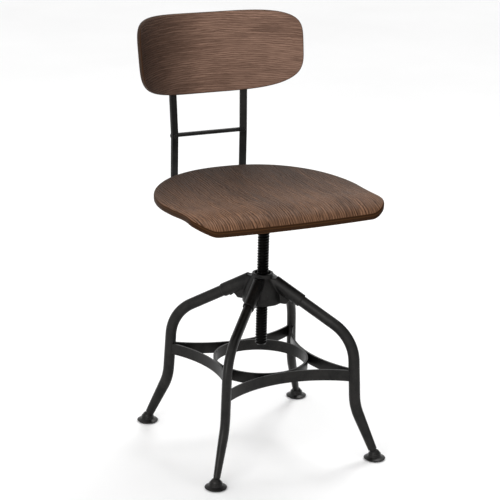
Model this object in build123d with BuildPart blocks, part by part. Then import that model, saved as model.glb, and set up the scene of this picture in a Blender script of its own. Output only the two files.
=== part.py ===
from build123d import *
from math import cos, radians, sin, sqrt, tan
import os

os.makedirs("parts", exist_ok=True)

# Millimetres. +Z up, the floor at Z 0, the seat's front towards -Y. Right and left are those of
# someone who looks at its front: right is +X and left is -X.
# Everything is drawn about the screw's axis, and moved at the end so that the origin is the middle
# of the whole object's box at floor level.
BOX_MIDDLE_Y = 66.857

# ---- seat board: a contoured plywood panel; its top profile is (y, z) ----
SEAT_HALF_WIDTH = 223.5
SEAT_FRONT_Y = -156.0
SEAT_WIDEST_Y = 12.0
SEAT_WAIST = [(220.5, -30.0), (216.5, -72.0), (217.0, -110.0), (221.5, -153.0)]
SEAT_REAR_Y = 218.0
SEAT_REAR_POWER = 2.18
SEAT_CORNER_R = 48.0
SEAT_THICKNESS = 14.5
SEAT_TOP_PROFILE = [(-156.0, 532.0), (-144.0, 543.0), (-124.0, 551.0), (-90.0, 554.0),
                    (-20.0, 550.5), (60.0, 549.5), (140.0, 552.5), (218.0, 558.0)]
SEAT_SIDE_LEAN = 0.14
SEAT_BLANK_Z = 480.0
SEAT_BLANK_H = 120.0

# ---- back board: bent plywood, its sizes taken on the leaning plane of its rear face ----
BACK_CENTRE_Z = 787.0
BACK_REAR_Y = 322.3
BACK_LEAN = 12.0
BACK_BEND_R = 240.0
BACK_THICKNESS = 13.0
BACK_HALF_WIDTH = 189.5
BACK_HALF_HEIGHT = 87.5
BACK_TOP_POWER = 4.5
BACK_BOTTOM_POWER = 4.0
BACK_TAPER = 0.012
BACK_BLANK_ALLOWANCE = 10.0

# ---- flat bars that carry the back: (distance outwards from the knee, height) ----
BAR_WIDTH = 16.0
BAR_THICKNESS = 6.0
BAR_X = 82.3
BAR_Y = 284.5
BAR_TOE_IN = 15.0
BAR_RUN_Z = 518.0
BAR_KNEE_Z = 616.0
BAR_BACK_EDGE = (7.7, 705.0)
BAR_TOP = (37.4, 845.0)
BAR_ROUTE = [(-262.0, BAR_RUN_Z), (0.0, BAR_RUN_Z), (0.0, BAR_KNEE_Z), BAR_BACK_EDGE, BAR_TOP]
BAR_BEND_RADII = [9.0, 60.0, 60.0]
CROSSBAR_D = 9.5
CROSSBAR_TAB_LENGTH = 15.0
CROSSBAR_TAB_T = 3.5
CROSSBAR_TAB_H = 12.0
CROSSBAR_TAB_CORNER_R = 5.5
CROSSBAR_ROD_OVERLAP = 1.5
BACK_SCREW_HEIGHTS = [752.0, 820.0]
POCKET_GAP = 0.15

# ---- screw post, flange under the seat, buffer ----
SPINDLE_R = 12.5
SPINDLE_TIP_Z = 221.0
SPINDLE_CHAMFER = 3.0
THREAD_TOP_Z = 478.5
NECK_R = 10.5
FLANGE_R = 62.0
FLANGE_T = 5.0
FLANGE_TOP_Z = 526.0
FLANGE_EDGE_CHAMFER = 1.0
FLANGE_BOSS_R = 19.0
FLANGE_BOSS_H = 12.0
BUFFER_R = 21.0
BUFFER_H = 12.0
BUFFER_GAP = 0.3
BUFFER_EDGE_R = 2.0
RUNNING_GAP = 0.06
FIT_GAP = 0.05

# ---- hub: its body is turned, (radius, z), and its four arms are sleeves for the legs ----
HUB_TOP_Z = 382.0
HUB_RIM_Z = 374.0
HUB_RIM_R = 22.5
HUB_FACE_R = 33.0
HUB_FACING_H = 30.0
HUB_SKIRT_Z = 319.0
HUB_SKIRT_R = 42.0
HUB_SKIRT_BULGE = (36.0, 350.0)
HUB_SKIRT_T = 4.5
HUB_CAVITY_Z = 350.0
HUB_CAVITY_R = 28.0
HUB_BARREL_R = 21.0
SLEEVE_WALL = 2.4
SLEEVE_FROM_R = 12.0
SLEEVE_TO_R = 88.0
SLEEVE_BORE_TO_R = 98.0
WEB_T = 9.0
WEB_ROOT_R = 19.0
WEB_FOOT_R = 54.0
WEB_TIP = (68.0, 334.0)
NUT_R = 17.0
NUT_TOP_Z = 377.0

# ---- legs, in each leg's vertical plane: (distance from the axis, height) ----
LEG_ANGLES = {"front_left": -135, "front_right": -45, "rear_right": 45, "rear_left": 135}
LEG_HEAD = (40.0, 357.4)
LEG_ELBOW = (203.6, 263.8)
LEG_KINK = (212.2, 113.8)
LEG_ELBOW_R = 92.0
LEG_KINK_R = 116.0
LEG_SIZE = (19.6, 24.4)
TOE_SIZE = (14.0, 19.0)
LEG_WALL = 2.0
PIN_R = 3.0
PIN_REACH_R = 76.0
PIN_DRILL_DEPTH = 7.0
PIN_TIP = 1.0
PIN_HEAD_R = 4.5
PIN_HEAD_H = 1.2

# ---- swivelling feet; the disc is turned, (radius, z) ----
BALL_CENTRE = (260.3, 10.5)
BALL_R = 12.0
BALL_FLAT_Z = 5.0
TOE_GAP = 11.5
STUD_NECK_R = 6.8
STUD_PLUG_R = 4.6
STUD_PLUG_LENGTH = 34.0
PAD_R = 19.0
PAD_T = 1.5
DISC_SECTION = [(0.0, PAD_T), (21.3, PAD_T), (22.8, 2.7), (22.8, 3.4), (21.6, 4.2), (14.6, 6.8),
                (13.2, 13.2), (0.0, 13.2), (0.0, PAD_T)]
SOCKET_FLOOR_Z = 3.2

# ---- footrest: a ring and four arcs of flat bar on edge ----
RING_R = 98.9
STRAP_T = 4.0
STRAP_H = 24.0
STRAP_BOTTOM_Z = 169.5
ARC_END = (203.0, 5.0)

# ---- fasteners ----
RIVET_R = 3.0
RIVET_HEAD_R = 5.0
RIVET_HEAD_H = 1.8
SCREW_R = 2.5
SCREW_HEAD_R = 5.5
SCREW_HEAD_H = 3.0
BACK_SCREW_DEPTH = 8.0
SEAT_SCREW_TIP_Z = 544.5
SPACER_R = 8.0
FRONT_SCREW_POINT = (36.0, -38.0)
REAR_SCREW_OUT = -112.0
BAR_BOLT_OUT = -240.0
BOLT_R = 3.0
BOLT_HEAD_R = 6.5
BOLT_HEAD_H = 4.0
NUT_CORNER_R = 6.5
NUT_H = 5.0


# ---------------------------------------------------------------------  helpers
def radial_plane(angle):
    """The vertical plane through the axis at this angle: local x outwards, local y up."""
    out = (cos(radians(angle)), sin(radians(angle)), 0)
    return Plane(origin=(0, 0, 0), x_dir=out, z_dir=(out[1], -out[0], 0))


def bar_plane(side):
    """The upright plane of the right (1) or left (-1) bar, with local x outwards from the knee."""
    out = (side * sin(radians(BAR_TOE_IN)), cos(radians(BAR_TOE_IN)), 0)
    return Plane(origin=(side * BAR_X, BAR_Y, 0), x_dir=out, z_dir=(out[1], -out[0], 0))


def superellipse(x_radius, y_radius, power, angle):
    """A point of a superellipse about the origin, at an angle in degrees."""
    c, s = cos(radians(angle)), sin(radians(angle))
    x = x_radius * abs(c) ** (2 / power)
    y = y_radius * abs(s) ** (2 / power)
    return (x if c >= 0 else -x), (y if s >= 0 else -y)


def rounded_path(points, radii):
    """Straight runs through the points, each inner corner rounded. Used inside a BuildLine."""
    start = Vector(*points[0])
    for corner, after, radius in zip(points[1:-1], points[2:], radii):
        corner, after = Vector(*corner), Vector(*after)
        back = (start - corner).normalized()
        ahead = (after - corner).normalized()
        half = radians(back.get_angle(ahead)) / 2
        middle = (back + ahead).normalized()
        arc_from = corner + back * (radius / tan(half))
        arc_to = corner + ahead * (radius / tan(half))
        arc_mid = corner + middle * (radius / sin(half) - radius)
        Line((start.X, start.Y), (arc_from.X, arc_from.Y))
        ThreePointArc((arc_from.X, arc_from.Y), (arc_mid.X, arc_mid.Y), (arc_to.X, arc_to.Y))
        start = arc_to
    Line((start.X, start.Y), points[-1])


def oval(plane, size):
    """An oval profile on the plane; the size is (along local x, along local y)."""
    with BuildSketch(plane) as profile:
        Ellipse(size[0] / 2, size[1] / 2)
    return profile.sketch


def shrink(size, amount):
    return size[0] - 2 * amount, size[1] - 2 * amount


def leg_form(angle, inset, mode=Mode.ADD):
    """The leg's oval form, its surface moved inwards by the inset: a bent tube, then its taper."""
    plane = radial_plane(angle)
    with BuildLine(plane) as centre:
        rounded_path([LEG_HEAD, LEG_ELBOW, LEG_KINK, TOE_END], [LEG_ELBOW_R, LEG_KINK_R])
    runs = centre.edges()
    tube = Wire(runs[:-1])
    start = Plane(origin=tube @ 0, x_dir=plane.z_dir, z_dir=tube % 0)
    shin_top = Plane(origin=runs[-1] @ 0, x_dir=plane.z_dir, z_dir=runs[-1] % 0)
    toe = Plane(origin=runs[-1] @ 1, x_dir=plane.z_dir, z_dir=runs[-1] % 1)
    full = shrink(LEG_SIZE, inset)
    sweep(oval(start, full), path=tube, mode=mode)
    loft([oval(shin_top, full), oval(toe, shrink(TOE_SIZE, inset))], mode=mode)


def head_run_form(angle, from_r, to_r, size, mode=Mode.ADD):
    """A straight oval bar along the leg's upper run, between two distances from the axis."""
    plane = radial_plane(angle)
    near = plane.from_local_coords((*on_head_run(from_r), 0))
    far = plane.from_local_coords((*on_head_run(to_r), 0))
    end = Plane(origin=near, x_dir=plane.z_dir, z_dir=far - near)
    extrude(oval(end, size), amount=(far - near).length, mode=mode)


def bar_solid(side, grow, mode=Mode.ADD):
    """One bent bar of the back, each of its long faces moved outwards by the amount."""
    with BuildSketch(bar_plane(side)) as edge_on:
        with BuildLine():
            rounded_path(BAR_ROUTE, BAR_BEND_RADII)
        trace(line_width=BAR_THICKNESS + 2 * grow)
    extrude(edge_on.sketch, amount=BAR_WIDTH / 2 + grow, both=True, mode=mode)


def drill(plane, radius, depth):
    """A round hole, centred on the plane's origin and as deep on both sides of it."""
    with BuildSketch(plane) as hole:
        Circle(radius)
    extrude(hole.sketch, amount=depth, both=True, mode=Mode.SUBTRACT)


def headed_pin(plane, shank_r, length, head_r, head_h):
    """A domed head that stands on the plane, with a round shank running back from it."""
    with BuildSketch(plane) as head:
        Circle(head_r)
    extrude(head.sketch, amount=head_h, taper=25)
    with BuildSketch(plane) as shank:
        Circle(shank_r)
    extrude(shank.sketch, amount=-length)


def save(builder, name):
    """Write one part, moved from the screw's axis to the object's origin."""
    placed = Pos(0, -BOX_MIDDLE_Y, 0) * builder.part
    placed.label = name
    export_step(placed, f"parts/{name}.step")


# ---------------------------------------------------------------------  places worked out once
shin = Vector(LEG_KINK[0] - BALL_CENTRE[0], LEG_KINK[1] - BALL_CENTRE[1]).normalized()
TOE_END = (BALL_CENTRE[0] + shin.X * TOE_GAP, BALL_CENTRE[1] + shin.Y * TOE_GAP)
head_run = Vector(LEG_ELBOW[0] - LEG_HEAD[0], LEG_ELBOW[1] - LEG_HEAD[1]).normalized()


def on_head_run(radius):
    """The point of the leg's straight upper run at this distance from the axis."""
    return radius, LEG_HEAD[1] + (radius - LEG_HEAD[0]) * head_run.Y / head_run.X


def bar_spot(side, out, z):
    """A frame on the bar's centre line, facing outwards along the bar's plane."""
    plane = bar_plane(side)
    return Plane(origin=plane.from_local_coords((out, z, 0)), x_dir=plane.z_dir, z_dir=plane.x_dir)


def back_screw_spot(side, z):
    """A frame on the bar's leaning part, facing square out of the bar's rear face."""
    rise = Vector(BAR_TOP[0] - BAR_BACK_EDGE[0], BAR_TOP[1] - BAR_BACK_EDGE[1]).normalized()
    out = BAR_BACK_EDGE[0] + (z - BAR_BACK_EDGE[1]) * rise.X / rise.Y
    plane = bar_plane(side)
    return Plane(origin=plane.from_local_coords((out, z, 0)), x_dir=plane.z_dir,
                 z_dir=plane.from_local_coords((rise.Y, -rise.X, 0)) - plane.origin)


def pin_spot(angle):
    """A frame on the sleeve's underside, facing square out of it, where the leg's pin goes in."""
    below = Vector(head_run.Y, -head_run.X)
    foot = Vector(*on_head_run(PIN_REACH_R)) + below * (LEG_SIZE[1] / 2 + SLEEVE_WALL)
    plane = radial_plane(angle)
    return Plane(origin=plane.from_local_coords((foot.X, foot.Y, 0)), x_dir=plane.z_dir,
                 z_dir=plane.from_local_coords(below) - plane.origin)


pin_spots = [pin_spot(angle) for angle in LEG_ANGLES.values()]
back_screw_spots = [back_screw_spot(side, z) for side in (1, -1) for z in BACK_SCREW_HEIGHTS]
crossbar_rivet_spots = [bar_spot(side, 0, BAR_KNEE_Z) for side in (1, -1)]

bar_bolt_points = [bar_plane(side).from_local_coords((BAR_BOLT_OUT, 0, 0)) for side in (1, -1)]
rear_screw_points = [bar_plane(side).from_local_coords((REAR_SCREW_OUT, 0, 0)) for side in (1, -1)]
front_screw_points = [Vector(side * FRONT_SCREW_POINT[0], FRONT_SCREW_POINT[1]) for side in (1, -1)]

bar_high_z = BAR_RUN_Z + BAR_THICKNESS / 2


# =====================================================================  seat board
underside_profile = [(y, z - SEAT_THICKNESS) for y, z in reversed(SEAT_TOP_PROFILE)]
rear_depth = SEAT_REAR_Y - SEAT_WIDEST_Y
rear_edge = [superellipse(SEAT_HALF_WIDTH, rear_depth, SEAT_REAR_POWER, a) for a in range(0, 91, 15)]
rear_edge = [(x, y + SEAT_WIDEST_Y) for x, y in rear_edge]
front_x, front_y = SEAT_WAIST[-1]

with BuildPart() as seat_board:
    with BuildSketch(Plane.XY.offset(SEAT_BLANK_Z)):
        with BuildLine():
            Spline(*rear_edge, tangents=[(0, 1), (-1, 0)])
            Spline((SEAT_HALF_WIDTH, SEAT_WIDEST_Y), *SEAT_WAIST, tangents=[(0, -1), (SEAT_SIDE_LEAN, -1)])
            mirror(about=Plane.YZ)
            ThreePointArc((-front_x, front_y), (0, SEAT_FRONT_Y), (front_x, front_y))
        make_face()
        fillet(vertices().group_by(Axis.Y)[0], SEAT_CORNER_R)
    extrude(amount=SEAT_BLANK_H)
    with BuildSketch(Plane.YZ):
        with BuildLine():
            Spline(*SEAT_TOP_PROFILE)
            Line(SEAT_TOP_PROFILE[-1], underside_profile[0])
            Spline(*underside_profile)
            Line(underside_profile[-1], SEAT_TOP_PROFILE[0])
        make_face()
    extrude(amount=SEAT_HALF_WIDTH, both=True, mode=Mode.INTERSECT)
    # pilot holes for the four screws from below
    for spot in front_screw_points + rear_screw_points:
        with BuildSketch(Plane.XY.offset(SEAT_BLANK_Z)):
            with Locations((spot.X, spot.Y)):
                Circle(SCREW_R + FIT_GAP)
        extrude(amount=SEAT_SCREW_TIP_Z + FIT_GAP - SEAT_BLANK_Z, mode=Mode.SUBTRACT)
save(seat_board, "seat_board")

# =====================================================================  bars
for side, name in ((1, "upright_right"), (-1, "upright_left")):
    with BuildPart() as upright:
        bar_solid(side, 0)
        for spot in back_screw_spots:
            drill(spot, SCREW_R + FIT_GAP, BAR_THICKNESS)
        for spot in crossbar_rivet_spots:
            drill(spot, RIVET_R + FIT_GAP, BAR_THICKNESS)
        for spot in bar_bolt_points:
            drill(Plane(origin=(spot.X, spot.Y, BAR_RUN_Z)), BOLT_R + FIT_GAP, BAR_THICKNESS)
        for spot in rear_screw_points:
            drill(Plane(origin=(spot.X, spot.Y, BAR_RUN_Z)), SCREW_R + FIT_GAP, BAR_THICKNESS)
    save(upright, name)

# =====================================================================  back board
back_plane = Plane(origin=(0, BACK_REAR_Y, BACK_CENTRE_Z), x_dir=(1, 0, 0),
                   z_dir=(0, sin(radians(BACK_LEAN)), cos(radians(BACK_LEAN))))
back_face = Plane(origin=back_plane.origin, x_dir=(1, 0, 0), z_dir=-back_plane.y_dir)
back_outline = []
for a in range(0, 360, 12):
    x, h = superellipse(BACK_HALF_WIDTH, BACK_HALF_HEIGHT,
                        BACK_TOP_POWER if a < 180 else BACK_BOTTOM_POWER, a)
    back_outline.append((x * (1 + BACK_TAPER * h / BACK_HALF_HEIGHT), h))
front_bend_r = BACK_BEND_R - BACK_THICKNESS
blank_x = BACK_HALF_WIDTH + BACK_BLANK_ALLOWANCE
rear_y = sqrt(BACK_BEND_R ** 2 - blank_x ** 2) - BACK_BEND_R
blank_front_y = sqrt(front_bend_r ** 2 - blank_x ** 2) - BACK_BEND_R

with BuildPart() as back_board:
    with BuildSketch(back_plane):
        with BuildLine():
            ThreePointArc((-blank_x, rear_y), (0, 0), (blank_x, rear_y))
            Line((blank_x, rear_y), (blank_x, blank_front_y))
            ThreePointArc((blank_x, blank_front_y), (0, -BACK_THICKNESS), (-blank_x, blank_front_y))
            Line((-blank_x, blank_front_y), (-blank_x, rear_y))
        make_face()
    extrude(amount=BACK_HALF_HEIGHT + BACK_BLANK_ALLOWANCE, both=True)
    with BuildSketch(back_face):
        with BuildLine():
            Spline(*back_outline, periodic=True)
        make_face()
    extrude(amount=BACK_BEND_R, both=True, mode=Mode.INTERSECT)
    # the bars are let into its rear face, and their screws go into it
    for side in (1, -1):
        with BuildSketch(bar_plane(side)):
            with BuildLine():
                Polyline((0, BAR_KNEE_Z), BAR_BACK_EDGE, BAR_TOP)
            trace(line_width=BAR_THICKNESS + 2 * POCKET_GAP)
        extrude(amount=BAR_WIDTH / 2 + POCKET_GAP, both=True, mode=Mode.SUBTRACT)
    for spot in back_screw_spots:
        drill(spot, SCREW_R + FIT_GAP, BAR_THICKNESS / 2 + BACK_SCREW_DEPTH)
save(back_board, "back_board")

with BuildPart() as back_screws:
    for spot in back_screw_spots:
        headed_pin(spot.offset(BAR_THICKNESS / 2), SCREW_R, BAR_THICKNESS + BACK_SCREW_DEPTH,
                   SCREW_HEAD_R, SCREW_HEAD_H)
save(back_screws, "back_screws")

# =====================================================================  crossbar
tab_out = BAR_THICKNESS / 2 + FIT_GAP + CROSSBAR_TAB_T / 2
crossbar_ends = [bar_spot(side, tab_out, BAR_KNEE_Z).origin for side in (1, -1)]
rod_reach = crossbar_ends[0].X - CROSSBAR_TAB_LENGTH / 2 + CROSSBAR_ROD_OVERLAP

with BuildPart() as crossbar:
    with BuildSketch(Plane(origin=(0, crossbar_ends[0].Y, BAR_KNEE_Z), z_dir=(1, 0, 0))):
        Circle(CROSSBAR_D / 2)
    extrude(amount=rod_reach, both=True)
    for side in (1, -1):
        # the rod's flattened end lies behind the bar
        with BuildSketch(bar_spot(side, BAR_THICKNESS / 2 + FIT_GAP, BAR_KNEE_Z)):
            RectangleRounded(CROSSBAR_TAB_LENGTH, CROSSBAR_TAB_H, CROSSBAR_TAB_CORNER_R)
        extrude(amount=CROSSBAR_TAB_T)
        bar_solid(side, FIT_GAP, Mode.SUBTRACT)
    for spot in crossbar_rivet_spots:
        drill(spot, RIVET_R + FIT_GAP, BAR_THICKNESS * 2)
save(crossbar, "crossbar")

with BuildPart() as crossbar_rivets:
    rivet_length = BAR_THICKNESS + FIT_GAP + CROSSBAR_TAB_T
    for spot in crossbar_rivet_spots:
        front = Plane(origin=spot.offset(-BAR_THICKNESS / 2).origin, z_dir=-spot.z_dir)
        headed_pin(front, RIVET_R, rivet_length, RIVET_HEAD_R, RIVET_HEAD_H)
        behind = spot.offset(BAR_THICKNESS / 2 + FIT_GAP + CROSSBAR_TAB_T)
        headed_pin(behind, RIVET_R, rivet_length, RIVET_HEAD_R, RIVET_HEAD_H)
save(crossbar_rivets, "crossbar_rivets")

# =====================================================================  screw post
with BuildPart() as spindle:
    with BuildSketch(Plane.XY.offset(SPINDLE_TIP_Z)):
        Circle(SPINDLE_R)
    extrude(amount=THREAD_TOP_Z - SPINDLE_TIP_Z)
    chamfer(faces().sort_by(Axis.Z)[0].edges(), SPINDLE_CHAMFER)
    with BuildSketch(Plane.XY.offset(THREAD_TOP_Z)):
        Circle(NECK_R)
    extrude(amount=FLANGE_TOP_Z - THREAD_TOP_Z)
save(spindle, "spindle")

with BuildPart() as buffer_ring:
    with BuildSketch(Plane.XY.offset(THREAD_TOP_Z)):
        Circle(BUFFER_R)
        Circle(NECK_R + BUFFER_GAP, mode=Mode.SUBTRACT)
    extrude(amount=BUFFER_H)
    fillet(edges().filter_by(GeomType.CIRCLE).group_by(SortBy.RADIUS)[-1], BUFFER_EDGE_R)
save(buffer_ring, "buffer_ring")

# =====================================================================  flange under the seat
with BuildPart() as seat_flange:
    with BuildSketch(Plane.XY.offset(FLANGE_TOP_Z - FLANGE_T)):
        Circle(FLANGE_R)
    extrude(amount=FLANGE_T)
    chamfer(edges().filter_by(GeomType.CIRCLE), FLANGE_EDGE_CHAMFER)
    with BuildSketch(Plane.XY.offset(FLANGE_TOP_Z - FLANGE_T - FLANGE_BOSS_H)):
        Circle(FLANGE_BOSS_R)
    extrude(amount=FLANGE_BOSS_H)
    drill(Plane.XY.offset(FLANGE_TOP_Z), NECK_R + FIT_GAP, 2 * (FLANGE_T + FLANGE_BOSS_H))
    for spot in front_screw_points:
        drill(Plane(origin=(spot.X, spot.Y, FLANGE_TOP_Z)), SCREW_R + FIT_GAP, 2 * FLANGE_T)
    for spot in bar_bolt_points:
        drill(Plane(origin=(spot.X, spot.Y, FLANGE_TOP_Z)), BOLT_R + FIT_GAP, 2 * FLANGE_T)
save(seat_flange, "seat_flange")

# spacer tubes fill the gap between the metalwork and the seat's underside
screw_seats = [(spot, FLANGE_TOP_Z, FLANGE_T) for spot in front_screw_points]
screw_seats += [(spot, bar_high_z, BAR_THICKNESS) for spot in rear_screw_points]

with BuildPart() as seat_spacers:
    for spot, low_z, _ in screw_seats:
        with BuildSketch(Plane(origin=(spot.X, spot.Y, low_z))):
            Circle(SPACER_R)
            Circle(SCREW_R + FIT_GAP, mode=Mode.SUBTRACT)
        extrude(amount=SEAT_SCREW_TIP_Z - low_z)
    add(seat_board.part, mode=Mode.SUBTRACT)
save(seat_spacers, "seat_spacers")

with BuildPart() as seat_screws:
    for spot, low_z, metal in screw_seats:
        under = Plane(origin=(spot.X, spot.Y, low_z - metal), z_dir=(0, 0, -1))
        headed_pin(under, SCREW_R, SEAT_SCREW_TIP_Z - low_z + metal, SCREW_HEAD_R, SCREW_HEAD_H)
save(seat_screws, "seat_screws")

with BuildPart() as bar_bolts:
    for spot in bar_bolt_points:
        under = Plane(origin=(spot.X, spot.Y, bar_high_z - BAR_THICKNESS), z_dir=(0, 0, -1))
        headed_pin(under, BOLT_R, BAR_THICKNESS + FLANGE_T, BOLT_HEAD_R, BOLT_HEAD_H)
        # its nut on the flange
        with BuildSketch(Plane(origin=(spot.X, spot.Y, FLANGE_TOP_Z))):
            RegularPolygon(NUT_CORNER_R, 6)
        extrude(amount=NUT_H)
save(bar_bolts, "bar_bolts")

# =====================================================================  hub
with BuildPart() as hub:
    with BuildSketch(Plane.XZ):
        with BuildLine():
            Polyline((0, HUB_SKIRT_Z), (0, HUB_TOP_Z), (HUB_RIM_R, HUB_TOP_Z), (HUB_RIM_R, HUB_RIM_Z))
            ThreePointArc((HUB_RIM_R, HUB_RIM_Z), HUB_SKIRT_BULGE, (HUB_SKIRT_R, HUB_SKIRT_Z))
            Line((HUB_SKIRT_R, HUB_SKIRT_Z), (0, HUB_SKIRT_Z))
        make_face()
    revolve(axis=Axis.Z)
    # the hollow between the skirt and the middle barrel
    with BuildSketch(Plane.XZ):
        with BuildLine():
            Polyline((HUB_BARREL_R, HUB_SKIRT_Z), (HUB_BARREL_R, HUB_CAVITY_Z),
                     (HUB_CAVITY_R, HUB_CAVITY_Z),
                     (HUB_SKIRT_R - HUB_SKIRT_T, HUB_SKIRT_Z), (HUB_BARREL_R, HUB_SKIRT_Z))
        make_face()
    revolve(axis=Axis.Z, mode=Mode.SUBTRACT)
    sleeve_size = shrink(LEG_SIZE, -SLEEVE_WALL)
    for angle in LEG_ANGLES.values():
        head_run_form(angle, SLEEVE_FROM_R, SLEEVE_TO_R, sleeve_size)
        # a web under each sleeve runs out from the skirt
        with BuildSketch(radial_plane(angle)):
            with BuildLine():
                Polyline((WEB_ROOT_R, HUB_SKIRT_Z), (WEB_FOOT_R, HUB_SKIRT_Z), WEB_TIP,
                         on_head_run(WEB_TIP[0]), on_head_run(WEB_ROOT_R),
                         (WEB_ROOT_R, HUB_SKIRT_Z))
            make_face()
        extrude(amount=WEB_T / 2, both=True)
    for angle in LEG_ANGLES.values():
        head_run_form(angle, LEG_HEAD[0], SLEEVE_BORE_TO_R, shrink(LEG_SIZE, -FIT_GAP), Mode.SUBTRACT)
    # the arms are faced off around the rim, and nothing stands above it
    with BuildSketch(Plane.XY.offset(HUB_RIM_Z)):
        Circle(HUB_FACE_R)
        Circle(HUB_RIM_R, mode=Mode.SUBTRACT)
    extrude(amount=HUB_FACING_H, mode=Mode.SUBTRACT)
    with BuildSketch(Plane.XY.offset(HUB_TOP_Z)):
        Circle(HUB_RIM_R)
    extrude(amount=HUB_FACING_H, mode=Mode.SUBTRACT)
    drill(Plane.XY.offset(HUB_TOP_Z), NUT_R + FIT_GAP, HUB_TOP_Z)
    for spot in pin_spots:
        drill(spot, PIN_R + FIT_GAP, PIN_DRILL_DEPTH)
save(hub, "hub")

with BuildPart() as spindle_nut:
    with BuildSketch(Plane.XY.offset(HUB_SKIRT_Z)):
        Circle(NUT_R)
        Circle(SPINDLE_R + RUNNING_GAP, mode=Mode.SUBTRACT)
    extrude(amount=NUT_TOP_Z - HUB_SKIRT_Z)
save(spindle_nut, "spindle_nut")

# =====================================================================  legs
# one leg on +X, turned into each of its four places
with BuildPart(mode=Mode.PRIVATE) as leg_on_x:
    leg_form(0, 0)
    leg_form(0, LEG_WALL, Mode.SUBTRACT)
    with Locations((BALL_CENTRE[0], 0, BALL_CENTRE[1])):
        Sphere(BALL_R + FIT_GAP, mode=Mode.SUBTRACT)

for (name, angle), spot in zip(LEG_ANGLES.items(), pin_spots):
    with BuildPart() as leg:
        with Locations(Location((0, 0, 0), (0, 0, angle))):
            add(leg_on_x.part)
        drill(spot, PIN_R + FIT_GAP, PIN_DRILL_DEPTH)
    save(leg, f"leg_{name}")

with BuildPart() as leg_pins:
    for spot in pin_spots:
        headed_pin(spot, PIN_R, SLEEVE_WALL + LEG_WALL + PIN_TIP, PIN_HEAD_R, PIN_HEAD_H)
save(leg_pins, "leg_pins")

# =====================================================================  feet
for name, angle in LEG_ANGLES.items():
    plane = radial_plane(angle)
    ball = plane.from_local_coords((BALL_CENTRE[0], BALL_CENTRE[1], 0))
    up_shin = plane.from_local_coords((shin.X, shin.Y, 0)) - plane.origin
    under = Plane(origin=(ball.X, ball.Y, 0), x_dir=plane.x_dir, z_dir=plane.z_dir)

    with BuildPart() as foot_stud:
        with Locations(ball):
            Sphere(BALL_R)
        split(bisect_by=Plane.XY.offset(BALL_FLAT_Z), keep=Keep.TOP)
        with BuildSketch(Plane(origin=ball, z_dir=up_shin)):
            Circle(STUD_NECK_R)
        extrude(amount=TOE_GAP - FIT_GAP)
        with BuildSketch(Plane(origin=ball, z_dir=up_shin)):
            Circle(STUD_PLUG_R)
        extrude(amount=STUD_PLUG_LENGTH)
    save(foot_stud, f"foot_stud_{name}")

    with BuildPart(mode=Mode.PRIVATE) as socket:
        with Locations(ball):
            Sphere(BALL_R + RUNNING_GAP)
        split(bisect_by=Plane.XY.offset(SOCKET_FLOOR_Z), keep=Keep.TOP)

    with BuildPart() as foot_disc:
        with BuildSketch(under):
            with BuildLine():
                Polyline(*DISC_SECTION)
            make_face()
        revolve(axis=Axis((ball.X, ball.Y, 0), (0, 0, 1)))
        add(socket.part, mode=Mode.SUBTRACT)
    save(foot_disc, f"foot_disc_{name}")

    with BuildPart() as foot_pad:
        with BuildSketch(Plane(origin=(ball.X, ball.Y, 0))):
            Circle(PAD_R)
        extrude(amount=PAD_T)
    save(foot_pad, f"foot_pad_{name}")

# =====================================================================  footrest
with BuildPart() as footrest_ring:
    with BuildSketch(Plane.XY.offset(STRAP_BOTTOM_Z)):
        Circle(RING_R + STRAP_T / 2)
        Circle(RING_R - STRAP_T / 2, mode=Mode.SUBTRACT)
    extrude(amount=STRAP_H)
save(footrest_ring, "footrest_ring")

# each arc runs from leg to leg and touches the ring at its middle; ARC_END is its end's distance
# out along its own leg's direction and towards the other leg's direction
touch_r = RING_R + STRAP_T + FIT_GAP
for name, angle in {"front": -90, "right": 0, "rear": 90, "left": 180}.items():
    middle = radial_plane(angle).x_dir
    ends = []
    for turn in (-45, 45):
        own, other = radial_plane(angle + turn).x_dir, radial_plane(angle - turn).x_dir
        end = own * ARC_END[0] + other * ARC_END[1]
        ends.append((end.X, end.Y))
    with BuildPart() as footrest_arc:
        with BuildSketch(Plane.XY.offset(STRAP_BOTTOM_Z)):
            with BuildLine():
                ThreePointArc(ends[0], (touch_r * middle.X, touch_r * middle.Y), ends[1])
            trace(line_width=STRAP_T)
        extrude(amount=STRAP_H)
        for turn in (-45, 45):
            leg_form(angle + turn, -FIT_GAP, Mode.SUBTRACT)
    save(footrest_arc, f"footrest_arc_{name}")
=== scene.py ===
from math import cos, hypot, pi, radians, sin, sqrt

import bmesh
import bpy
from mathutils import Matrix, Vector


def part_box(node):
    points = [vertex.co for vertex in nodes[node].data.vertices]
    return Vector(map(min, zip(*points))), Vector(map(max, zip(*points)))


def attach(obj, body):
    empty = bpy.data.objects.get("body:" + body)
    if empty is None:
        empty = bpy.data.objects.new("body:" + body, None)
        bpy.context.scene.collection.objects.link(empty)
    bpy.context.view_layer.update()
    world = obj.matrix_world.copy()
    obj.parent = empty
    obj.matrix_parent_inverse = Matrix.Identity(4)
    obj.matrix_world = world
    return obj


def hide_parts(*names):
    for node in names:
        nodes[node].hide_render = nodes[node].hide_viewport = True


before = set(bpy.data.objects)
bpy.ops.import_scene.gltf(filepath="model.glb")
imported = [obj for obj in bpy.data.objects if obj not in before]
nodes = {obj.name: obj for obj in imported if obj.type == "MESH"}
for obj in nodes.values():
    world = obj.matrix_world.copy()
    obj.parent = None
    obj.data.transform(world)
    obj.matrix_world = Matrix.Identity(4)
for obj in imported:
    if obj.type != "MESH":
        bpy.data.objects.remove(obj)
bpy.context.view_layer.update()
MM = 0.001
LEG_PLACES = ("front_left", "front_right", "rear_right", "rear_left")
SIDES = ("front", "right", "rear", "left")

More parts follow.
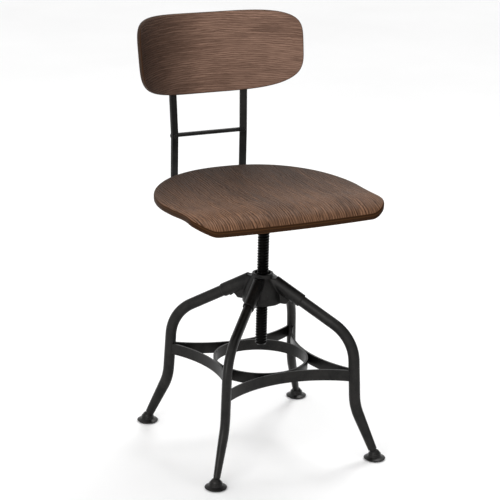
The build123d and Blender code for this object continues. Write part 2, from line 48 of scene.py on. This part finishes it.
# ---------------------------------------------------------------------  sizes, in millimetres
SEAT_HALF_WIDTH = 223.5
SEAT_FRONT_Y = -156.0
SEAT_WIDEST_Y = 12.0
SEAT_WAIST = [(223.5, 12.0), (220.5, -30.0), (216.5, -72.0), (217.0, -110.0), (221.5, -153.0)]
SEAT_REAR_Y = 218.0
SEAT_REAR_POWER = 2.18
SEAT_CORNER_R = 48.0
SEAT_THICKNESS = 14.5
SEAT_EDGE_R = 4.5
SEAT_POINTS = 300
SEAT_RINGS = 34
SEAT_TOP_PROFILE = [(-156.0, 532.0), (-144.0, 543.0), (-124.0, 551.0), (-90.0, 554.0),
                    (-20.0, 550.5), (60.0, 549.5), (140.0, 552.5), (218.0, 558.0)]

BACK_CENTRE_Z = 787.0
BACK_REAR_Y = 322.3
BACK_LEAN = radians(12.0)
BACK_BEND_R = 240.0
BACK_THICKNESS = 13.0
BACK_HALF_WIDTH = 189.5
BACK_HALF_HEIGHT = 87.5
BACK_TOP_POWER = 4.5
BACK_BOTTOM_POWER = 4.0
BACK_TAPER = 0.012
BACK_EDGE_R = 3.5
BACK_POINTS = 260
BACK_RINGS = 26
EDGE_STEPS = 5

SCREW_R = 12.5
SCREW_DEPTH = 1.7
SCREW_PITCH = 6.0
SCREW_FLANK = 2.2
SCREW_CREST = 0.15
SCREW_SIDES = 72
SCREW_ROW_H = 0.6
SCREW_LOW_Z = 221.0
SCREW_HIGH_Z = 478.5
SCREW_TIP_TAPER = 3.0
NECK_R = 10.5
NECK_TOP_Z = 512.0

# The sizes above are drawn about the screw's axis, which stands this far along Y in the frame.
spindle_low, spindle_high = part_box("spindle")
AXIS_Y = (spindle_low[1] + spindle_high[1]) / 2
AXIS_SHIFT = Vector((0, AXIS_Y, 0))


# ---------------------------------------------------------------------  material helper
class Shader:
    """A Principled material, with short calls that add nodes to it."""

    def __init__(self, name, **sockets):
        self.material = bpy.data.materials.new(name)
        self.material.use_nodes = True
        self.tree = self.material.node_tree
        self.surface = self.tree.nodes["Principled BSDF"]
        for socket, value in sockets.items():
            self.surface.inputs[socket.replace("_", " ")].default_value = value

    def node(self, kind, inputs=None, **attributes):
        made = self.tree.nodes.new(kind)
        for key, value in attributes.items():
            setattr(made, key, value)
        for key, value in (inputs or {}).items():
            if isinstance(value, bpy.types.NodeSocket):
                self.tree.links.new(value, made.inputs[key])
            else:
                made.inputs[key].default_value = value
        return made

    def coords(self, scale, kind="Object"):
        place = self.node("ShaderNodeTexCoord").outputs[kind]
        return self.node("ShaderNodeMapping", {"Vector": place, "Scale": scale}).outputs["Vector"]

    def noise(self, vector, scale=1.0, detail=4.0, roughness=0.55, distortion=0.0):
        return self.node("ShaderNodeTexNoise", {
            "Vector": vector, "Scale": scale, "Detail": detail, "Roughness": roughness,
            "Distortion": distortion}).outputs["Fac"]

    def ramp(self, value, stops):
        made = self.node("ShaderNodeValToRGB", {"Fac": value})
        band = made.color_ramp
        while len(band.elements) < len(stops):
            band.elements.new(0.5)
        for element, (place, colour) in zip(band.elements, stops):
            element.position = place
            element.color = (*colour, 1)
        return made.outputs["Color"]

    def range(self, value, low, high, to_low, to_high):
        return self.node("ShaderNodeMapRange", {
            "Value": value, "From Min": low, "From Max": high,
            "To Min": to_low, "To Max": to_high}).outputs["Result"]

    def mix(self, factor, a, b, blend="MIX"):
        made = self.node("ShaderNodeMix", data_type="RGBA", blend_type=blend)
        # the colour sockets of this node, which has others of the same names for other types
        factor_in, a_in, b_in = made.inputs[0], made.inputs[6], made.inputs[7]
        for socket, value in ((factor_in, factor), (a_in, a), (b_in, b)):
            if isinstance(value, bpy.types.NodeSocket):
                self.tree.links.new(value, socket)
            else:
                socket.default_value = value if isinstance(value, (int, float)) else (*value, 1)
        return made.outputs[2]

    def maths(self, operation, a, b=0.0):
        return self.node("ShaderNodeMath", {0: a, 1: b}, operation=operation).outputs[0]

    def bump(self, height, strength, distance, rounded=None):
        inputs = {"Height": height, "Strength": strength, "Distance": distance}
        if rounded:
            inputs["Normal"] = self.bevelled(rounded)
        self.join("Normal", self.node("ShaderNodeBump", inputs).outputs["Normal"])

    def bevelled(self, radius):
        """The surface's direction, as if every corner were rounded to this radius."""
        return self.node("ShaderNodeBevel", {"Radius": radius}, samples=4).outputs["Normal"]

    def sharp_edges(self, radius):
        """1 near an outer or inner edge, 0 on open faces."""
        facing = self.node("ShaderNodeNewGeometry").outputs["Normal"]
        along = self.node("ShaderNodeVectorMath", {0: self.bevelled(radius), 1: facing},
                          operation="DOT_PRODUCT")
        return self.range(along.outputs["Value"], 0.99, 0.86, 0.0, 1.0)

    def join(self, socket, output):
        self.tree.links.new(output, self.surface.inputs[socket])


    def place(self):
        """The point's own X, Y and Z, in the frame."""
        return self.node("ShaderNodeSeparateXYZ", {
            0: self.node("ShaderNodeTexCoord").outputs["Object"]}).outputs

    def pointy_edge_highlight(self, low, high, most):
        """0 to most, as a finely meshed surface turns from flat to an outer edge: the mask of a
        painted highlight.
        """
        pointed = self.node("ShaderNodeNewGeometry").outputs["Pointiness"]
        return self.range(pointed, low, high, 0.0, most)


def grey(value):
    return (value, value, value)


def scaled(colour, factor):
    return [factor * value for value in colour]


# ---------------------------------------------------------------------  wood
def make_wood(name, across_axis, line_spacing, warp, light, dark, plain, bold, painted_shade):
    """Stained open-pored veneer.

    Its grain lines lie across the named axis, line_spacing apart, and warp bends them into arches.
    plain and bold are the strength of the lines away from the seat's front roll and on it. The last
    argument is painted shade, the board darker towards one end: an axis, the places where the
    colour is darkest and where it is full, and its darkest share.
    """
    wood = Shader(name, Specular_IOR_Level=0.06)
    across = {"X": (1, 0, 0), "Z": (0, 0, 1)}[across_axis]

    def streaks(width, length, detail, distortion=0.0):
        scale = [width if is_across else length for is_across in across]
        return wood.noise(wood.coords(scale), 1.0, detail, 0.6, distortion)

    broad = streaks(11, 2.0, 3, 0.4)
    arches = streaks(7, 2.6, 2)
    waver = streaks(60, 22, 3)
    medium = streaks(230, 10, 6, 0.3)
    pores = streaks(720, 30, 3)
    place = wood.place()
    strength = wood.range(place["Y"], AXIS_Y - 0.075, AXIS_Y - 0.125, plain, bold)

    # growth rings cut by the surface: a sine wave whose phase wanders, broken up along its length
    phase = wood.maths("MULTIPLY", place[across_axis], 1 / line_spacing)
    phase = wood.maths("ADD", phase, wood.maths("MULTIPLY", arches, warp))
    phase = wood.maths("ADD", phase, wood.maths("MULTIPLY", waver, 1.8))
    rings = wood.maths("SINE", wood.maths("MULTIPLY", phase, 2 * pi))
    broken = wood.range(medium, 0.38, 0.58, 0.0, 1.0)
    lines = wood.maths("MULTIPLY", wood.range(rings, -0.3, 0.9, 0.0, 1.0), broken)
    pits = wood.range(pores, 0.48, 0.62, 0.0, 1.0)

    tone = wood.maths("ADD", wood.maths("MULTIPLY", broad, 0.40),
                      wood.maths("MULTIPLY", medium, 0.60))
    middle = [0.6 * a + 0.4 * b for a, b in zip(dark, light)]
    colour = wood.ramp(tone, [(0.40, middle), (0.60, light)])
    colour = wood.mix(wood.maths("MULTIPLY", lines, strength), colour, dark)
    pit_strength = wood.maths("MULTIPLY", strength, 0.6)
    colour = wood.mix(wood.maths("MULTIPLY", pits, pit_strength), colour, scaled(dark, 0.45))
    # painted shade: the colour darkens towards one end of the given axis
    axis, darkest, full, share = painted_shade
    depth = wood.range(place[axis], darkest, full, sqrt(share), 1.0)
    colour = wood.mix(1.0, colour, wood.maths("MULTIPLY", depth, depth), "MULTIPLY")
    # painted highlight: the board lighter along its outer edges
    colour = wood.mix(wood.pointy_edge_highlight(0.52, 0.60, 0.4), colour, scaled(light, 1.25))
    wood.join("Base Color", colour)
    wood.join("Roughness", wood.range(lines, 0.0, 1.0, 0.46, 0.62))
    wood.bump(wood.maths("SUBTRACT", 1.0, wood.maths("ADD", lines, pits)), 0.4, 0.0007)
    return wood.material


def make_ply_edge(name, veneers):
    """The board's edge: thin veneers in turn along and across the grain, under the same varnish."""
    edge = Shader(name, Specular_IOR_Level=0.04)
    through = edge.node("ShaderNodeSeparateXYZ", {0: edge.node("ShaderNodeTexCoord").outputs["UV"]})
    layer = edge.maths("FRACT", edge.maths("MULTIPLY", through.outputs["Y"], veneers))
    end_grain = edge.noise(edge.coords((900, 9, 1), "UV"), 1.0, 3)
    long_grain = edge.noise(edge.coords((60, 30, 1), "UV"), 1.0, 4)
    alternate = edge.range(layer, 0.42, 0.58, 0.0, 1.0)
    colour = edge.mix(alternate, (0.026, 0.010, 0.003), (0.060, 0.024, 0.007))
    colour = edge.mix(edge.range(end_grain, 0.35, 0.7, 0.0, 0.45), colour, (0.020, 0.010, 0.005))
    colour = edge.mix(edge.range(long_grain, 0.4, 0.7, 0.0, 0.5), colour, (0.030, 0.016, 0.009))
    edge.join("Base Color", colour)
    edge.join("Roughness", edge.range(end_grain, 0.3, 0.7, 0.42, 0.6))
    edge.bump(edge.maths("ADD", end_grain, edge.maths("MULTIPLY", alternate, 0.4)), 0.3, 0.0004)
    return edge.material


# ---------------------------------------------------------------------  metals and rubber
def make_metal(name, low, high, rough, grain_scale, grain_strength, edge_radius, edge_highlight_strength,
               metallic=0.85):
    """Dark satin metal, mottled between two greys, with a patchy painted highlight along its edges.
    """
    metal = Shader(name, Metallic=metallic)
    mottle = metal.noise(metal.coords(grey(1)), 34, 6, 0.62, 0.4)
    speckle = metal.noise(metal.coords(grey(1)), grain_scale, 4, 0.6)
    shade = metal.maths("ADD", metal.maths("MULTIPLY", mottle, 0.65),
                        metal.maths("MULTIPLY", speckle, 0.35))
    warm_high = (high * 1.05, high, high * 0.95)
    colour = metal.ramp(shade, [(0.34, grey(low)), (0.66, warm_high)])
    # painted highlight: patches of lighter grey along the edges
    edge = metal.sharp_edges(edge_radius * 1.5)
    edge_highlight_patches = metal.range(metal.noise(metal.coords(grey(1)), 210, 3), 0.42, 0.62, 0.0, edge_highlight_strength)
    colour = metal.mix(metal.maths("MULTIPLY", edge, edge_highlight_patches), colour, grey(0.16))
    metal.join("Base Color", colour)
    metal.join("Roughness", metal.range(shade, 0.35, 0.65, rough - 0.07, rough + 0.08))
    metal.bump(shade, grain_strength, 0.0008, edge_radius)
    return metal.material


def make_rubber():
    rubber = Shader("rubber_black", Specular_IOR_Level=0.35)
    dust = rubber.noise(rubber.coords(grey(1)), 90, 5)
    colour = rubber.ramp(dust, [(0.35, grey(0.012)), (0.7, (0.034, 0.032, 0.030))])
    rubber.join("Base Color", colour)
    rubber.join("Roughness", rubber.range(dust, 0.3, 0.7, 0.62, 0.85))
    rubber.bump(rubber.noise(rubber.coords(grey(1)), 1500, 2), 0.15, 0.0003, 0.0006)
    return rubber.material


# painted shade: the seat is darker towards its rear
seat_wood = make_wood(
    "seat_veneer", "X", line_spacing=0.0056, warp=9.0, light=(0.235, 0.120, 0.066),
    dark=(0.012, 0.005, 0.003), plain=0.62, bold=0.88,
    painted_shade=("Y", AXIS_Y + 0.20, AXIS_Y - 0.14, 0.27))
# painted shade: the back is darker towards its left end
back_wood = make_wood(
    "back_veneer", "Z", line_spacing=0.0048, warp=5.0, light=(0.250, 0.150, 0.108),
    dark=(0.042, 0.019, 0.012), plain=0.58, bold=0.58, painted_shade=("X", -0.19, -0.01, 0.22))
ply_edge = make_ply_edge("ply_edge", 4.5)
# each metal below carries a patchy painted highlight along its edges
frame_metal = make_metal("frame_gunmetal", 0.010, 0.024, rough=0.38, grain_scale=420,
                         grain_strength=0.10, edge_radius=0.0007, edge_highlight_strength=0.35)
cast_metal = make_metal("cast_gunmetal", 0.008, 0.022, rough=0.44, grain_scale=260,
                        grain_strength=0.32, edge_radius=0.0008, edge_highlight_strength=0.30)
screw_metal = make_metal("screw_steel", 0.002, 0.006, rough=0.34, grain_scale=520,
                         grain_strength=0.06, edge_radius=0.0003, edge_highlight_strength=0.15, metallic=1.0)
fastener_metal = make_metal("fastener_steel", 0.020, 0.045, rough=0.34, grain_scale=520,
                            grain_strength=0.06, edge_radius=0.0003, edge_highlight_strength=0.6)
rubber_black = make_rubber()


def wear(node, material):
    """Give every material slot of a CAD node this material."""
    for place in nodes[node].material_slots:
        place.material = material


for name in ["upright_left", "upright_right", "crossbar", "crossbar_rivets", "footrest_ring"]:
    wear(name, frame_metal)
for place in LEG_PLACES:
    wear(f"leg_{place}", frame_metal)
    wear(f"foot_disc_{place}", frame_metal)
    wear(f"foot_stud_{place}", frame_metal)
    wear(f"foot_pad_{place}", rubber_black)
for side in SIDES:
    wear(f"footrest_arc_{side}", frame_metal)
for name in ["seat_flange", "hub", "spindle_nut"]:
    wear(name, cast_metal)
for name in ["seat_spacers", "seat_screws", "bar_bolts", "back_screws", "leg_pins"]:
    wear(name, fastener_metal)
wear("spindle", screw_metal)
wear("buffer_ring", rubber_black)
wear("seat_board", seat_wood)
wear("back_board", back_wood)


# ---------------------------------------------------------------------  mesh helpers
def new_piece(name, mesh, materials, about_axis=False):
    if about_axis:
        mesh.transform(Matrix.Translation(AXIS_SHIFT))
    piece = bpy.data.objects.new(name, mesh)
    bpy.context.scene.collection.objects.link(piece)
    for material in materials:
        mesh.materials.append(material)
    for face in mesh.polygons:
        face.use_smooth = True
    return piece


def superellipse(x_radius, y_radius, power, angle):
    c, s = cos(angle), sin(angle)
    x = x_radius * abs(c) ** (2 / power)
    y = y_radius * abs(s) ** (2 / power)
    return (x if c >= 0 else -x), (y if s >= 0 else -y)


def resample(points, count):
    """The closed line through the points, as evenly spaced points."""
    closed = points + [points[0]]
    lengths = [0.0]
    for (x0, y0), (x1, y1) in zip(closed, closed[1:]):
        lengths.append(lengths[-1] + hypot(x1 - x0, y1 - y0))
    out, k = [], 0
    for i in range(count):
        want = lengths[-1] * i / count
        while lengths[k + 1] < want:
            k += 1
        t = (want - lengths[k]) / (lengths[k + 1] - lengths[k])
        (x0, y0), (x1, y1) = closed[k], closed[k + 1]
        out.append((x0 + (x1 - x0) * t, y0 + (y1 - y0) * t))
    return out


def inset(points, distance):
    """The closed, anticlockwise line moved inwards."""
    out = []
    n = len(points)
    for i, (x, y) in enumerate(points):
        dx = points[(i + 1) % n][0] - points[i - 1][0]
        dy = points[(i + 1) % n][1] - points[i - 1][1]
        size = hypot(dx, dy)
        out.append((x - dy / size * distance, y + dx / size * distance))
    return out


def shell(name, outline, centre, upper, lower, edge_r, face_rings, materials):
    """A board with rounded edges. upper and lower turn a plan point and a depth below each face
    into a place, in millimetres. The edge's faces take the second material."""
    n = len(outline)
    rings = []

    def face(surface, keep_rings):
        for k in keep_rings:
            share = k / face_rings
            inner = inset(outline, edge_r)
            ring = [(centre[0] + (x - centre[0]) * share, centre[1] + (y - centre[1]) * share)
                    for x, y in inner]
            rings.append([surface(x, y, 0) for x, y in ring])

    def edge(surface, order):
        for k in order:
            turn = pi / 2 * k / EDGE_STEPS
            ring = inset(outline, edge_r * (1 - sin(turn)))
            rings.append([surface(x, y, edge_r * (1 - cos(turn))) for x, y in ring])

    face(upper, range(1, face_rings + 1))
    edge_start = len(rings) - 1
    edge(upper, range(1, EDGE_STEPS + 1))
    edge(lower, range(EDGE_STEPS, 0, -1))
    edge_end = len(rings)
    face(lower, range(face_rings, 0, -1))

    mesh = bpy.data.meshes.new(name)
    bm = bmesh.new()
    layer = bm.loops.layers.uv.new("edge")
    made = [[bm.verts.new(Vector(p) * MM) for p in ring] for ring in rings]
    span = edge_end - edge_start
    top = bm.verts.new(Vector(upper(*centre, 0)) * MM)
    bottom = bm.verts.new(Vector(lower(*centre, 0)) * MM)
    for r in range(len(made) - 1):
        on_edge = edge_start + 2 <= r < edge_end - 2
        for i in range(n):
            j = (i + 1) % n
            quad = bm.faces.new((made[r][i], made[r + 1][i], made[r + 1][j], made[r][j]))
            quad.material_index = 1 if on_edge else 0
            for loop, (u, v) in zip(quad.loops, ((i, r), (i, r + 1), (i + 1, r + 1), (i + 1, r))):
                loop[layer].uv = (u / n, (v - edge_start) / span)
    for i in range(n):
        j = (i + 1) % n
        bm.faces.new((top, made[0][i], made[0][j]))
        bm.faces.new((bottom, made[-1][j], made[-1][i]))
    bmesh.ops.recalc_face_normals(bm, faces=bm.faces)
    bm.to_mesh(mesh)
    bm.free()
    return new_piece(name, mesh, materials, about_axis=True)


# ---------------------------------------------------------------------  seat board
def smooth_curve(points, at):
    """The value at one place on a smooth curve through points given as (place, value)."""
    at = min(max(at, points[0][0]), points[-1][0])
    k = max(i for i in range(len(points) - 1) if points[i][0] <= at)
    (p0, v0), (p1, v1) = points[k], points[k + 1]

    def slope(i):
        a, b = points[max(i - 1, 0)], points[min(i + 1, len(points) - 1)]
        return (b[1] - a[1]) / (b[0] - a[0])

    t = (at - p0) / (p1 - p0)
    m0, m1 = slope(k) * (p1 - p0), slope(k + 1) * (p1 - p0)
    return ((2 * t ** 3 - 3 * t ** 2 + 1) * v0 + (t ** 3 - 2 * t ** 2 + t) * m0
            + (3 * t ** 2 - 2 * t ** 3) * v1 + (t ** 3 - t ** 2) * m1)


def profile_height(y):
    return smooth_curve(SEAT_TOP_PROFILE, y)


def seat_plan():
    """The seat's outline: superellipse behind, waisted sides, rounded corners, bowed front."""
    front_x, front_y = SEAT_WAIST[-1]
    side = [(y, x) for x, y in reversed(SEAT_WAIST)]

    def front(x):
        return SEAT_FRONT_Y + (front_y - SEAT_FRONT_Y) * (x / front_x) ** 2

    def corner_at(y):
        """The centre of the corner's circle that touches the side here, and the side's lean."""
        lean = smooth_curve(side, y + 0.5) - smooth_curve(side, y - 0.5)
        size = hypot(1, lean)
        return smooth_curve(side, y) - SEAT_CORNER_R / size, y + SEAT_CORNER_R * lean / size, lean

    low, high = front_y, SEAT_WIDEST_Y
    for _ in range(40):
        touch_y = (low + high) / 2
        corner_x, corner_y, lean = corner_at(touch_y)
        if corner_y - front(corner_x) < SEAT_CORNER_R:
            low = touch_y
        else:
            high = touch_y

    right = []
    for k in range(10):
        x = corner_x * k / 10
        right.append((x, front(x)))
    for k in range(17):
        turn = -pi / 2 + (pi / 2 - lean) * k / 16
        right.append((corner_x + SEAT_CORNER_R * cos(turn), corner_y + SEAT_CORNER_R * sin(turn)))
    for k in range(1, 20):
        y = touch_y + (SEAT_WIDEST_Y - touch_y) * k / 20
        right.append((smooth_curve(side, y), y))
    rear_depth = SEAT_REAR_Y - SEAT_WIDEST_Y
    for a in range(0, 91, 3):
        x, y = superellipse(SEAT_HALF_WIDTH, rear_depth, SEAT_REAR_POWER, radians(a))
        right.append((x, y + SEAT_WIDEST_Y))
    left = [(-x, y) for x, y in reversed(right[1:-1])]
    return resample(right + left, SEAT_POINTS)


seat = shell(
    "seat_shell", seat_plan(), (0, SEAT_WIDEST_Y),
    lambda x, y, depth: (x, y, profile_height(y) - depth),
    lambda x, y, depth: (x, y, profile_height(y) - SEAT_THICKNESS + depth),
    SEAT_EDGE_R, SEAT_RINGS, [seat_wood, ply_edge])
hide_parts("seat_board")
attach(seat, "seat")


# ---------------------------------------------------------------------  back board
def back_place(x, height, forward):
    """A point of the leaning back, by its distance across, up and forward of the rear's middle."""
    return (x, BACK_REAR_Y - forward * cos(BACK_LEAN) + height * sin(BACK_LEAN),
            BACK_CENTRE_Z + forward * sin(BACK_LEAN) + height * cos(BACK_LEAN))


def back_plan():
    line = []
    for a in range(0, 360, 3):
        power = BACK_TOP_POWER if a < 180 else BACK_BOTTOM_POWER
        x, h = superellipse(BACK_HALF_WIDTH, BACK_HALF_HEIGHT, power, radians(a))
        line.append((x * (1 + BACK_TAPER * h / BACK_HALF_HEIGHT), h))
    return resample(line, BACK_POINTS)


def bend(x, radius):
    """How far forward of the rear's middle a bent face lies, at this distance across."""
    return BACK_BEND_R - sqrt(radius ** 2 - x ** 2)


back = shell(
    "back_shell", back_plan(), (0, 0),
    lambda x, h, depth: back_place(x, h, bend(x, BACK_BEND_R - BACK_THICKNESS) - depth),
    lambda x, h, depth: back_place(x, h, bend(x, BACK_BEND_R) + depth),
    BACK_EDGE_R, BACK_RINGS, [back_wood, ply_edge])
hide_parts("back_board")
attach(back, "seat")


# ---------------------------------------------------------------------  screw post
def screw_post():
    """The post with its coarse right-hand thread, and the plain neck above it."""
    length = SCREW_HIGH_Z - SCREW_LOW_Z
    rows = int(length / SCREW_ROW_H)
    levels = [(SCREW_LOW_Z + length * k / rows, True) for k in range(rows + 1)]
    levels += [(SCREW_HIGH_Z, False), (NECK_TOP_Z, False)]
    bm = bmesh.new()
    rings = []
    for z, threaded in levels:
        ring = []
        for i in range(SCREW_SIDES):
            turn = i / SCREW_SIDES
            radius = NECK_R
            if threaded:
                phase = (z / SCREW_PITCH - turn) % 1.0
                from_crest = 0.5 - abs(phase - 0.5)
                groove = min(1.0, max(0.0, SCREW_FLANK * from_crest - SCREW_CREST))
                fade = min(1.0, (SCREW_HIGH_Z - z) / SCREW_PITCH)
                radius = SCREW_R - SCREW_DEPTH * groove * fade
                radius -= max(0.0, SCREW_TIP_TAPER - (z - SCREW_LOW_Z))
            point = Vector((radius * cos(2 * pi * turn), radius * sin(2 * pi * turn), z))
            ring.append(bm.verts.new(point * MM))
        rings.append(ring)
    for low, high in zip(rings, rings[1:]):
        for i in range(SCREW_SIDES):
            j = (i + 1) % SCREW_SIDES
            bm.faces.new((low[i], low[j], high[j], high[i]))
    bm.faces.new(list(reversed(rings[0])))
    bm.faces.new(rings[-1])
    mesh = bpy.data.meshes.new("screw_post")
    bm.to_mesh(mesh)
    bm.free()
    return new_piece("screw_post", mesh, [screw_metal], about_axis=True)


post = screw_post()
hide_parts("spindle")
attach(post, "seat")


# ---------------------------------------------------------------------  castings
def softened(node, name, voxel, passes, material):
    """A casting from its CAD form, with its inner and outer corners run smooth."""
    mesh = nodes[node].data.copy()
    bm = bmesh.new()
    bm.from_mesh(mesh)
    bmesh.ops.remove_doubles(bm, verts=bm.verts, dist=0.00001)
    bm.to_mesh(mesh)
    bm.free()
    mesh.materials.clear()
    draft = bpy.data.objects.new(name + "_draft", mesh)
    bpy.context.scene.collection.objects.link(draft)
    remesh = draft.modifiers.new("voxels", "REMESH")
    remesh.mode = "VOXEL"
    remesh.voxel_size = voxel
    smooth = draft.modifiers.new("smooth", "SMOOTH")
    smooth.factor = 0.5
    smooth.iterations = passes
    bpy.context.view_layer.update()
    depsgraph = bpy.context.evaluated_depsgraph_get()
    final = bpy.data.meshes.new_from_object(draft.evaluated_get(depsgraph))
    final.name = name
    bpy.data.objects.remove(draft)
    piece = new_piece(name, final, [material])
    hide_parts(node)
    return piece


hub = softened("hub", "hub_casting", 0.0011, 10, cast_metal)
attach(hub, "base")


# ---------------------------------------------------------------------  floor, light and camera
FLOOR_REACH = 30.0
CAMERA_RIGHT = Vector((0.90403, -0.42692, 0.02176))
CAMERA_UP = Vector((0.11301, 0.28779, 0.95100))
CAMERA_BACK = Vector((-0.41226, -0.85727, 0.30842))
CAMERA_PLACE = Vector((-1.5029, -3.0612, 1.5357))
CAMERA_LENS = 123.55
CAMERA_SENSOR = 36.0


def rectangle(x, y):
    """The points, edges and faces of a flat rectangle, from half its size each way."""
    return [(-x, -y, 0), (x, -y, 0), (x, y, 0), (-x, y, 0)], [], [(0, 1, 2, 3)]


def lay_floor():
    floor = Shader("pale_floor", Specular_IOR_Level=0.2)
    tone = floor.noise(floor.coords(grey(1)), 1.3, 3)
    floor.join("Base Color", floor.ramp(tone, [(0.3, grey(0.90)), (0.7, grey(0.93))]))
    floor.join("Roughness", floor.range(tone, 0.3, 0.7, 0.7, 0.8))
    mesh = bpy.data.meshes.new("floor")
    mesh.from_pydata(*rectangle(FLOOR_REACH, FLOOR_REACH))
    new_piece("floor", mesh, [floor.material])


def aim(piece, place, target):
    """Put a piece at a place given from the screw's axis, and point it at a target."""
    piece.location = Vector(place) + AXIS_SHIFT
    piece.rotation_euler = (Vector(target) - Vector(place)).to_track_quat("-Z", "Y").to_euler()


def soft_light(name, place, target, size, power):
    lamp = bpy.data.lights.new(name, "AREA")
    lamp.shape = "RECTANGLE"
    lamp.size, lamp.size_y = size
    lamp.energy = power
    piece = bpy.data.objects.new(name, lamp)
    bpy.context.scene.collection.objects.link(piece)
    aim(piece, place, target)


def dark_flag(name, place, target, size):
    """A dark panel beside the set, out of sight: it gives the metal its dark strips."""
    flag = Shader(name, Roughness=0.9, Specular_IOR_Level=0.1)
    tone = flag.noise(flag.coords(grey(1)), 2.0)
    flag.join("Base Color", flag.ramp(tone, [(0.3, grey(0.02)), (0.7, grey(0.05))]))
    mesh = bpy.data.meshes.new(name)
    mesh.from_pydata(*rectangle(size[0] / 2, size[1] / 2))
    piece = new_piece(name, mesh, [flag.material])
    aim(piece, place, target)
    piece.visible_camera = False


lay_floor()
world = bpy.data.worlds.new("studio")
world.use_nodes = True
world.node_tree.nodes["Background"].inputs["Color"].default_value = (1, 1, 1, 1)
world.node_tree.nodes["Background"].inputs["Strength"].default_value = 1.04
bpy.context.scene.world = world
soft_light("key", (1.2, 1.0, 2.4), (0, 0, 0.2), (0.8, 0.8), 26)
soft_light("left_wall", (-2.4, -1.8, 1.4), (0, 0.1, 0.6), (1.5, 1.5), 34)
dark_flag("right_flag", (2.0, -0.5, 1.25), (0, 0, 0.7), (2.2, 1.9))
bpy.context.scene.view_settings.view_transform = "Standard"

camera_data = bpy.data.cameras.new("camera")
camera_data.lens = CAMERA_LENS
camera_data.sensor_width = CAMERA_SENSOR
camera = bpy.data.objects.new("camera", camera_data)
bpy.context.scene.collection.objects.link(camera)
turn = Matrix((CAMERA_RIGHT, CAMERA_UP, CAMERA_BACK)).transposed()
camera.matrix_world = Matrix.Translation(CAMERA_PLACE + AXIS_SHIFT) @ turn.to_4x4()
bpy.context.scene.camera = camera
